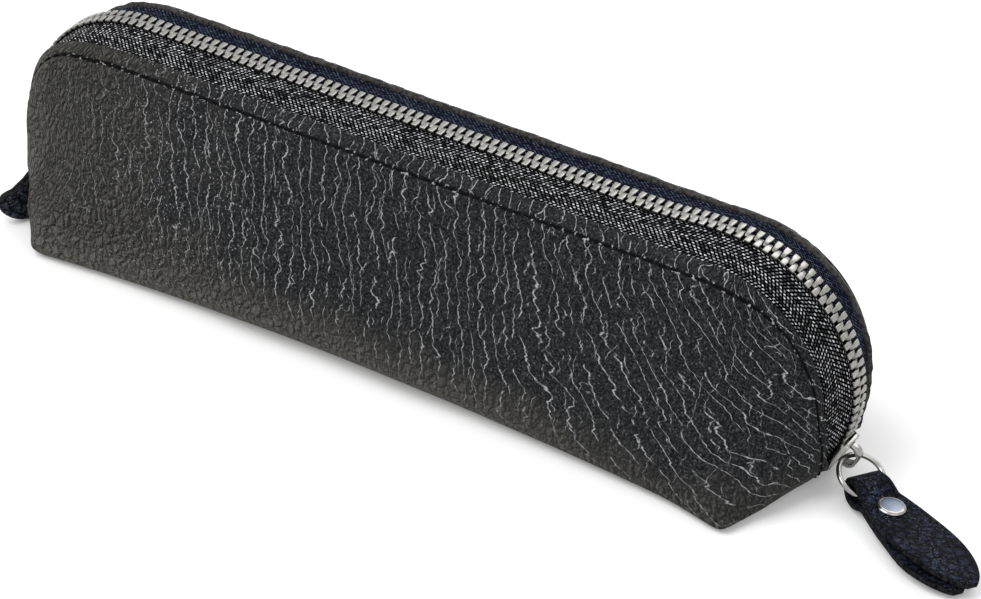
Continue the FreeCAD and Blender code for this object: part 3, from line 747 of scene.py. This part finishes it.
def moveBack(point, fromRim):
    # the back rim stands up, with small lumps
    lift = hide["backRise"] + hide["farBackRise"] * fade("backFar", point.x)
    lift *= 1 - fade("backDeep", fromRim)
    out = Vector((point.x - chainTurn(point.x)[0], 0, point.z - archZ))
    if point.z > archZ - 12 and out.length > 1:
        lump = 0.0
        for scale, seed, share in hide["lumps"]:
            lump += share * noise.noise(Vector((point.x * scale, seed, point.z * scale)))
        lift += hide["rimLump"] * lump * (1 - fade("lumpDeep", fromRim))
        point += out.normalized() * lift


def ruffle():
    # soft unevenness of the panels and the pull of the sewing line
    for r, row in enumerate(hideGrid):
        side = -1 if r < len(hideGrid) / 2 else 1
        move = moveFront if side < 0 else moveBack
        for c, point in enumerate(row):
            fromRim = rimDistance(r, c)
            calm = fade("calmDeep", fromRim) * fade("calmAbove", point.z)
            wave = 0.0
            for alongScale, upScale, seed, size in hide["waves"]:
                wave += noise.noise(Vector((point.x * alongScale, side * seed, point.z * upScale))) * size
            dip = bell(fromRim - hide["stitchInset"], hide["stitchWide"]) * hide["stitchDip"]
            move(point, fromRim)
            point.y += side * wave * calm
            point.y -= side * dip * 0.6
            point.z -= dip * 0.8


def hideUv(row, column):
    # length along the case, unrolled round its ends, and distance from the rim
    point = hideGrid[row][column]
    past = max(0.0, abs(point.x) - hide["axis"])
    along = min(abs(point.x), hide["axis"]) + hide["turnScale"] * math.atan2(past, max(abs(point.y), 1.0))
    return math.copysign(along, point.x) * mm, rimDistance(row, column) * mm


ruffle()
hideSkin = gridPiece("hideSkin", [[p * mm for p in row] for row in hideGrid], blackHide, "case", hideUv)
wallGroup = hideSkin.vertex_groups.new(name="wall")
thicken(hideSkin, hide["thickness"], rim=hideEdge).vertex_group = wallGroup.name
for vert in hideSkin.data.vertices:
    # the wall is thinner where its inner side would sink into the table
    drop = vert.normal.z * hide["thickness"]
    share = 1.0 if drop < vert.co.z else max(0.02, vert.co.z / drop)
    wallGroup.add([vert.index], share, "REPLACE")
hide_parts("leather_body")
print("hide skin:", len(hideSkin.data.vertices), "points")

# lining: a thin bag inside the hide
lining = {
    "inset": 2.1, "lowest": 0.4, "firstRow": 9, "every": 3,
    "thickness": 0.35 * mm, "weaveStep": 2.6 * mm,
}


def buildLining():
    normals = [v.normal.copy() for v in hideSkin.data.vertices]
    width = len(hideGrid[0])
    rows = []
    for r in range(lining["firstRow"], len(hideGrid) - lining["firstRow"], lining["every"]):
        row = []
        for c in range(0, width, lining["every"]):
            point = hideGrid[r][c] - normals[r * width + c] * lining["inset"]
            point.z = max(point.z, lining["lowest"])
            row.append(point * mm)
        rows.append(row)
    bag = gridPiece("liningBag", rows, liningCloth, "case",
                    lambda r, c: (c * lining["weaveStep"], r * lining["weaveStep"]))
    thicken(bag, lining["thickness"])
    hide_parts("lining")
    return bag


liningBag = buildLining()

# zip tapes: a beaded edge held in the teeth and a strip sloping under the panel
tape = {
    "bead": 0.98, "beadEdge": 1.5, "fork": 2.25, "bend": 8.3, "outer": 10.7, "strips": 9,
    "thickness": 0.55, "step": 1.0, "ripple": 0.12,
    "frontSlope": (28.0, 21.0), "backSlope": (20.0, 12.5),    # degrees where the chain is tight and slack
    "outerSlope": 32.0,                                       # under the hide
}


def tapeSide(name, side, material, node):
    tight, slack = tape["frontSlope"] if side < 0 else tape["backSlope"]
    outerTan = math.tan(math.radians(tape["outerSlope"]))
    room = tape["outer"] - tape["fork"]
    stops = [tape["bead"], tape["beadEdge"], tape["fork"]]
    stops += [tape["fork"] + room * k / tape["strips"] for k in range(1, tape["strips"] + 1)]
    reach = lengthTo(zipArch["endAngle"])
    count = int(2 * reach / tape["step"])
    rows = []
    for across in stops:
        row = []
        for k in range(count + 1):
            along = -reach + 2 * reach * k / count
            slope = math.tan(math.radians(tight + (slack - tight) * slackAt(along)))
            sunk = max(0.0, min(across, tape["bend"]) - tape["fork"]) * slope
            sunk += max(0.0, across - tape["bend"]) * outerTan
            ripple = noise.noise(Vector((along * 0.12, side * 3.0, across * 0.3))) * tape["ripple"]
            ripple *= smoothStep(3.0, 5.0, across) * (1 - smoothStep(7.0, 8.6, across))
            row.append(onChain(along, side * across, sunk + ripple))
        rows.append(row)
    if side > 0:
        rows.reverse()
        stops.reverse()
    piece = gridPiece(name, rows, material, "case",
                      lambda r, c: ((-reach + 2 * reach * c / count) * mm, stops[r] * mm))
    thicken(piece, tape["thickness"] * mm, 0.0)
    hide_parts(node)
    return piece


frontTape = tapeSide("frontTape", -1, frontWeave, "front_tape")
backTape = tapeSide("backTape", 1, backWeave, "back_tape")

# zip teeth: bright forks clamped on the tape edges
tooth = {
    "pitch": 2.0, "thick": 0.92, "leg": 2.25, "head": 0.7, "high": 1.2, "slot": 0.36, "slotDepth": 0.95,
    "soft": 0.14, "shoulder": 0.62, "shoulderLong": 0.25, "stout": 1.38,
}


def toothMesh(side):
    high, leg, head = tooth["high"], tooth["leg"], tooth["head"]
    slot, depth = tooth["slot"], tooth["slotDepth"]
    upper = [(-head, high * 0.6), (-head * 0.2, high * 0.86), (0.6, high), (leg, high),
             (leg, slot), (depth, slot)]
    outline = upper + [(y, -z) for y, z in reversed(upper)]
    shape = bmesh.new()
    ends = []
    for x in (-tooth["thick"] / 2, tooth["thick"] / 2):
        ends.append([shape.verts.new((x, side * y, z)) for y, z in outline])
    shape.faces.new(ends[0])
    shape.faces.new(list(reversed(ends[1])))
    for k in range(len(outline)):
        n = (k + 1) % len(outline)
        shape.faces.new((ends[0][n], ends[0][k], ends[1][k], ends[1][n]))
    for y in (tooth["shoulder"], tooth["shoulder"] + tooth["shoulderLong"]):
        everything = shape.verts[:] + shape.edges[:] + shape.faces[:]
        bmesh.ops.bisect_plane(shape, geom=everything, plane_co=(0, side * y, 0), plane_no=(0, 1, 0))
    for vert in shape.verts:
        if vert.co.y * side > tooth["shoulder"] + 0.2:
            vert.co.x *= tooth["stout"]
    bmesh.ops.recalc_face_normals(shape, faces=shape.faces)
    sharp = [e for e in shape.edges if e.calc_face_angle(0.0) > 0.35]
    bmesh.ops.bevel(shape, geom=sharp, offset=tooth["soft"], segments=2, profile=0.6, affect="EDGES")
    marks = shape.loops.layers.uv.new("grain")
    for face in shape.faces:
        for loop in face.loops:
            loop[marks].uv = (loop.vert.co.y * side / leg, loop.vert.co.z / high)
    return shape


def toothRow(name, side, shift, node):
    model = toothMesh(side)
    template = bpy.data.meshes.new("toothTemplate")
    model.to_mesh(template)
    model.free()
    whole = bmesh.new()
    along = -lengthTo(zipArch["teethStart"]) + shift
    while along <= lengthTo(zipArch["teethStop"]):
        first = len(whole.verts)
        whole.from_mesh(template)
        whole.verts.ensure_lookup_table()
        turn = Matrix.Rotation(chainTurn(along)[1], 4, "Y")
        place = Matrix.Translation(onChain(along, 0, 0)) @ turn @ Matrix.Scale(mm, 4)
        bmesh.ops.transform(whole, matrix=place, verts=whole.verts[first:])
        along += tooth["pitch"]
    mesh = bpy.data.meshes.new(name)
    whole.to_mesh(mesh)
    whole.free()
    bpy.data.meshes.remove(template)
    piece = addPiece(name, mesh, toothNickel, "case")
    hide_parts(node)
    return piece


frontTeeth = toothRow("frontTeeth", -1, 0.0, "front_teeth")
backTeeth = toothRow("backTeeth", 1, tooth["pitch"] / 2, "back_teeth")
print("zip laid:", len(frontTeeth.data.vertices) + len(backTeeth.data.vertices), "tooth points")


def softCopy(node, name, material, body, width):
    # a copy of a metal node with its edges eased
    mesh = frame["nodes"][node].data.copy()
    mesh.name = name
    mesh.materials.clear()
    shape = bmesh.new()
    shape.from_mesh(mesh)
    bmesh.ops.remove_doubles(shape, verts=shape.verts, dist=1e-6)
    bmesh.ops.dissolve_limit(shape, angle_limit=0.02, verts=shape.verts, edges=shape.edges)
    shape.to_mesh(mesh)
    shape.free()
    piece = addPiece(name, mesh, material, body)
    easeEdges(piece, width * mm, 35).harden_normals = True
    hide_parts(node)
    return piece


softCopy("slider_body", "sliderShell", sliderNickel, "slider", 0.18)
softCopy("slider_crown", "sliderCrown", sliderNickel, "slider", 0.22)
softCopy("top_stops", "topStops", stopNickel, "case", 0.12)
softCopy("bottom_stop", "bottomStop", stopNickel, "case", 0.12)

# pull: ring and folded strap hung on the crown
hang = Vector(hinges["ring_swing"]["pos_m"])
seat = Vector(hinges["pull_swing"]["pos_m"])
wireWay = Vector(hinges["pull_swing"]["axis"]).normalized()
ringWay = (seat - hang).normalized()
pullRing = {"radius": 4.8 * mm, "wire": 0.55 * mm, "around": 96, "section": 20}


def buildRing():
    centre = hang + ringWay * pullRing["radius"]
    lift = ringWay.cross(wireWay).normalized()
    rows = []
    for k in range(pullRing["around"] + 1):
        turn = 2 * math.pi * k / pullRing["around"]
        out = ringWay * math.cos(turn) + wireWay * math.sin(turn)
        row = []
        for s in range(pullRing["section"]):
            angle = 2 * math.pi * s / pullRing["section"]
            row.append(centre + out * (pullRing["radius"] + pullRing["wire"] * math.cos(angle))
                       + lift * pullRing["wire"] * math.sin(angle))
        rows.append(row)
    ring = gridPiece("pullRing", rows, sliderNickel, "ring", closed=True)
    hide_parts("pull_ring")


buildRing()

strap = {
    "pitch": 2.0, "ringPitch": 26.0,       # degrees of the strap and the ring below the level
    "thick": 1.2, "bore": 1.62, "gap": 0.3, "slack": 1.1, "back": 0.5, "pinch": 2.6,
    "length": 33.8, "lowerShort": 1.5,
    "neck": 3.0, "waist": 4.3, "waistAt": 4.0, "half": 6.2, "halfAt": 17.0, "tip": 1.1,    # half widths
    "acrossSteps": 16, "leafSteps": 45, "pinchSteps": 8, "turnSteps": 16,
    "rivetAt": 7.3, "rivetRadius": 3.0, "rivetPress": 0.16, "wave": 0.1,
    "tipLift": 0.75, "upperShift": 0.5, "lowerShift": -1.2,     # the layers part towards the tip
}
strapAhead = Quaternion(wireWay, math.radians(strap["pitch"] - strap["ringPitch"])) @ ringWay
strapUp = strapAhead.cross(wireWay).normalized()


def inStrap(x, y, z):
    return seat + (strapAhead * (x - strap["back"]) + wireWay * y + strapUp * z) * mm


def strapHalf(x):
    # half width of the leaf along its length
    waistAt, halfAt, tip = strap["waistAt"], strap["halfAt"], strap["tip"]
    if x <= waistAt:
        return strap["neck"] + (strap["waist"] - strap["neck"]) * smoothStep(-6.0, waistAt, x)
    if x <= halfAt:
        t = (x - waistAt) / (halfAt - waistAt)
        return strap["waist"] + (strap["half"] - strap["waist"]) * math.sin(t * math.pi / 2) ** 0.9
    t = min(1.0, (x - halfAt) / (strap["length"] - halfAt))
    return tip + (strap["half"] - tip) * (1 - t ** 2.3) ** 0.75


def strapLine():
    # middle line of the strip: upper tip, back round the ring, lower tip
    half = strap["gap"] / 2 + strap["thick"] / 2
    middle = strap["bore"] + strap["thick"] / 2
    pinch = strap["bore"] + strap["pinch"]
    low = strap["length"] - strap["lowerShort"]
    line = []
    for k in range(strap["leafSteps"] + 1):
        x = strap["length"] + (pinch - strap["length"]) * k / strap["leafSteps"]
        line.append((x, half + strap["tipLift"] * smoothStep(10.0, 34.0, x)))
    opening = []
    for k in range(strap["pinchSteps"] + 1):
        t = k / strap["pinchSteps"]
        opening.append((pinch * (1 - t), half + (middle - half) * smoothStep(0.0, 1.0, t)))
    line += opening[1:]
    for k in range(strap["turnSteps"] + 1):
        turn = math.pi * k / strap["turnSteps"]
        line.append((-strap["slack"] - middle * math.sin(turn), middle * math.cos(turn)))
    line += [(x, -z) for x, z in reversed(opening)]
    for k in range(1, strap["leafSteps"] + 1):
        line.append((pinch + (low - pinch) * k / strap["leafSteps"], -half))
    return line


def buildStrap():
    line = strapLine()
    rows = []
    travel = [0.0]
    for a, b in zip(line, line[1:]):
        travel.append(travel[-1] + math.dist(a, b))
    low = strap["length"] - strap["lowerShort"]
    for k, (x, z) in enumerate(line):
        shorter = k >= len(line) / 2 and x > 10
        half = strapHalf(x * strap["length"] / low if shorter else x)
        sign = 1 if z > 0 else -1
        shift = strap["lowerShift" if sign < 0 else "upperShift"] * smoothStep(11.0, 24.0, x)
        row = []
        for s in range(strap["acrossSteps"] + 1):
            y = half * (2 * s / strap["acrossSteps"] - 1)
            away = math.hypot(x - strap["rivetAt"], y)
            press = strap["rivetPress"] * bell(away - strap["rivetRadius"], 1.0) if x > 2 else 0.0
            wave = noise.noise(Vector((x * 0.16, y * 0.2, sign * 4.0))) * strap["wave"]
            row.append(inStrap(x, y + shift, z - sign * press + wave * smoothStep(9.0, 16.0, x)))
        rows.append(row)
    piece = gridPiece("strapLeaf", rows, navyLeather, "pull",
                      lambda r, c: (travel[r] * mm, (c / strap["acrossSteps"] * 12.0 - 6.0) * mm))
    thicken(piece, strap["thick"] * mm, 0.0, tabEdge)
    easeEdges(piece, 0.22 * mm, 60)
    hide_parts("pull_strap")
    return piece


strapLeaf = buildStrap()

# rivet: profiles of (radius, height), with heights measured out from the strap's two faces
rivet = {"around": 64, "rim": 2.35}
strapTop = strap["gap"] / 2 + strap["thick"]
capProfile = [(0.0, 0.66), (1.0, 0.65), (1.8, 0.62), (2.3, 0.58), (2.6, 0.5), (2.82, 0.36), (2.95, 0.18),
              (2.98, 0.06), (2.9, -0.02), (0.0, -0.02)]
postHead = [(0.74, -0.02), (2.9, -0.02), (2.97, 0.12), (2.7, 0.32), (2.2, 0.38), (0.0, 0.38)]
postTop = strapTop - 0.05


def latheOnStrap(name, profile, node):
    # a round piece turned about the rivet's line; outside the rim it gets the brighter nickel as a painted
    # highlight
    rows = []
    for radius, height in profile:
        row = []
        for k in range(rivet["around"]):
            turn = 2 * math.pi * k / rivet["around"]
            row.append(inStrap(strap["rivetAt"] + radius * math.cos(turn), radius * math.sin(turn), height))
        rows.append(row)
    piece = gridPiece(name, rows, rivetNickel, "pull", closed=True)
    piece.data.materials.append(sliderNickel)
    middle = inStrap(strap["rivetAt"], 0, 0)
    for face in piece.data.polygons:
        out = (face.center - middle).cross(strapUp).length / mm
        face.material_index = 1 if out > rivet["rim"] else 0
    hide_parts(node)


latheOnStrap("rivetCap", [(radius, strapTop + height) for radius, height in capProfile], "rivet_cap")
latheOnStrap("rivetPost", [(0.0, postTop), (0.74, postTop)]
             + [(radius, -strapTop - height) for radius, height in postHead], "rivet_post")
print("pull hung")

# end tab: a two-layer leaf that comes out below the zip and bends round to the front
endTab = {
    "path": [(-93.5, 0.2, 4.8), (-95.2, -1.4, 4.9), (-95.4, -5.0, 4.9), (-94.6, -9.5, 4.8),
             (-93.9, -13.5, 4.7), (-94.9, -16.7, 4.8), (-97.4, -18.9, 5.4)],
    "half": 4.7, "rootHalf": 3.4, "tip": 0.3, "thick": 1.2, "steps": 56, "acrossSteps": 14,
    "layers": {"endTabOuter": 0.63, "endTabInner": -0.63},      # middle of each layer off the path
}


def alongCurve(points, share):
    # a smooth line through a few points
    room = share * (len(points) - 1)
    k = min(len(points) - 2, int(room))
    t = room - k
    around = [Vector(points[max(0, min(len(points) - 1, k + step))]) for step in (-1, 0, 1, 2)]
    before = (around[2] - around[0]) / 2
    after = (around[3] - around[1]) / 2
    return (around[1] * (2 * t ** 3 - 3 * t ** 2 + 1) + before * (t ** 3 - 2 * t ** 2 + t)
            + around[2] * (3 * t ** 2 - 2 * t ** 3) + after * (t ** 3 - t ** 2))


def buildTab():
    layers = []
    path, tip = endTab["path"], endTab["tip"]
    for name, shift in endTab["layers"].items():
        rows = []
        for k in range(endTab["steps"] + 1):
            t = k / endTab["steps"]
            spot = alongCurve(path, t)
            way = alongCurve(path, min(1.0, t + 0.02)) - alongCurve(path, max(0.0, t - 0.02))
            out = way.cross(Vector((0, 0, 1))).normalized()
            upWay = out.cross(way).normalized()
            half = endTab["rootHalf"] + (endTab["half"] - endTab["rootHalf"]) * smoothStep(0.25, 0.6, t)
            half = tip + (half - tip) * max(0.0, 1 - max(0.0, (t - 0.55) / 0.45) ** 2.0) ** 0.75
            row = []
            for s in range(endTab["acrossSteps"] + 1):
                across = half * (2 * s / endTab["acrossSteps"] - 1)
                row.append((spot + upWay * across + out * shift) * mm)
            rows.append(row)
        skin = gridPiece(name, rows, tabSheenLeather, "case")
        thicken(skin, endTab["thick"] * mm, 0.0, tabEdge)
        layers.append(skin)
    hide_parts("end_tab")
    return layers


for leaf in buildTab():
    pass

# sewing along both panels
sewing = {"first": 1.5, "pitch": 3.0, "long": 2.3, "wide": 0.5, "rise": 0.02, "lowest": 1.2}


def sewingPath(side):
    # points of the sewing line on one panel, with the hide's normal at each
    count = len(hideGrid)
    width = len(hideGrid[0])
    path = []
    for c in range(width):
        place = hide["stitchInset"] / rowStep(c)
        low = int(place)
        rowA = low if side < 0 else count - 1 - low
        rowB = low + 1 if side < 0 else count - 2 - low
        point = hideGrid[rowA][c].lerp(hideGrid[rowB][c], place - low)
        path.append((point, hideSkin.data.vertices[rowA * width + c].normal.copy()))
    return path


def buildStitches():
    whole = bmesh.new()
    size = Matrix.Diagonal((sewing["long"] / 2 * mm, sewing["wide"] / 2 * mm, sewing["wide"] / 2 * mm, 1))
    for side in (-1, 1):
        path = sewingPath(side)
        travel = 0.0
        nextAt = sewing["first"]
        for a, b in zip(path, path[1:]):
            gap = (b[0] - a[0]).length
            while travel + gap >= nextAt:
                middle = a[0].lerp(b[0], (nextAt - travel) / gap)
                way = (b[0] - a[0]).normalized()
                up = a[1].normalized()
                turn = Matrix((way, up.cross(way).normalized(), up)).transposed().to_4x4()
                place = Matrix.Translation((middle + up * sewing["rise"]) * mm) @ turn @ size
                if middle.z > sewing["lowest"]:
                    bmesh.ops.create_uvsphere(whole, u_segments=10, v_segments=6, radius=1.0, matrix=place)
                nextAt += sewing["pitch"]
            travel += gap
    mesh = bpy.data.meshes.new("zipSewing")
    whole.to_mesh(mesh)
    whole.free()
    piece = addPiece("zipSewing", mesh, sewingThread, "case")


buildStitches()
print("sewing done")

# floor and light, in metres
studio = {
    "floorHalf": 1.5, "floorDrop": 0.00005, "floorLift": 0.14, "world": 0.55, "aim": (0, 0, 0.02),
    "lamps": {      # place, power and size
        "keyLamp": ((-0.35, -0.45, 1.0), 8.0, 0.8),
        "fillLamp": ((0.9, -0.4, 0.7), 2.5, 0.9),
        "rimLamp": ((0.1, 0.8, 0.9), 5.0, 0.9),
    },
}


def buildFloor():
    mesh = bpy.data.meshes.new("floor")
    half = studio["floorHalf"]
    corners = [(-half, -half, 0), (half, -half, 0), (half, half, 0), (-half, half, 0)]
    mesh.from_pydata(corners, [], [(0, 1, 2, 3)])
    floor = linkObject("floor", mesh)
    material, tree, shader = newMaterial("paleFloor")
    seen = newNode(tree, "LightPath").outputs["Is Camera Ray"]
    setInputs(shader, {
        "Base Color": (0.93, 0.93, 0.93, 1), "Roughness": 0.9, "Specular IOR Level": 0.1,
        "Emission Color": (1, 1, 1, 1), "Emission Strength": times(seen, studio["floorLift"])})
    mesh.materials.append(material)
    floor.location.z = -studio["floorDrop"]


def addLamp(name, place, power, size):
    data = bpy.data.lights.new(name, "AREA")
    data.energy = power
    data.size = size
    lamp = linkObject(name, data)
    lamp.location = place
    lamp.rotation_mode = "QUATERNION"
    lamp.rotation_quaternion = (Vector(studio["aim"]) - Vector(place)).to_track_quat("-Z", "Y")


def buildWorld():
    # a plain white surround for the camera and for reflections, dimmer as a light
    world = bpy.data.worlds.new("studioWorld")
    bpy.context.scene.world = world
    world.use_nodes = True
    tree = world.node_tree
    rays = newNode(tree, "LightPath").outputs
    seen = mathNode("MAXIMUM", rays["Is Camera Ray"], rays["Is Glossy Ray"])
    setInputs(tree.nodes["Background"], {
        "Color": (1, 1, 1, 1), "Strength": between(seen, studio["world"], 1.0)})


buildFloor()
for lampName, lampFacts in studio["lamps"].items():
    addLamp(lampName, *lampFacts)
buildWorld()

# camera, in millimetres and degrees
view = {
    "target": (15.7, -2.3, 13.85), "distance": 868.0, "azimuth": 32.69, "elevation": 35.85,
    "focal": 157.7, "sensor": 36.0, "clipEnd": 10000,
}


def buildCamera():
    data = bpy.data.cameras.new("photoCamera")
    data.sensor_width = view["sensor"]
    data.lens = view["focal"]
    data.clip_end = view["clipEnd"] * mm
    camera = linkObject("photoCamera", data)
    side = math.radians(view["azimuth"])
    rise = math.radians(view["elevation"])
    back = Vector((math.sin(side) * math.cos(rise), -math.cos(side) * math.cos(rise), math.sin(rise)))
    camera.location = (Vector(view["target"]) + back * view["distance"]) * mm
    camera.rotation_mode = "QUATERNION"
    camera.rotation_quaternion = (-back).to_track_quat("-Z", "Y")
    bpy.context.scene.camera = camera


buildCamera()
bpy.context.scene.view_settings.view_transform = "Standard"
bpy.context.view_layer.update()
print("scene ready")
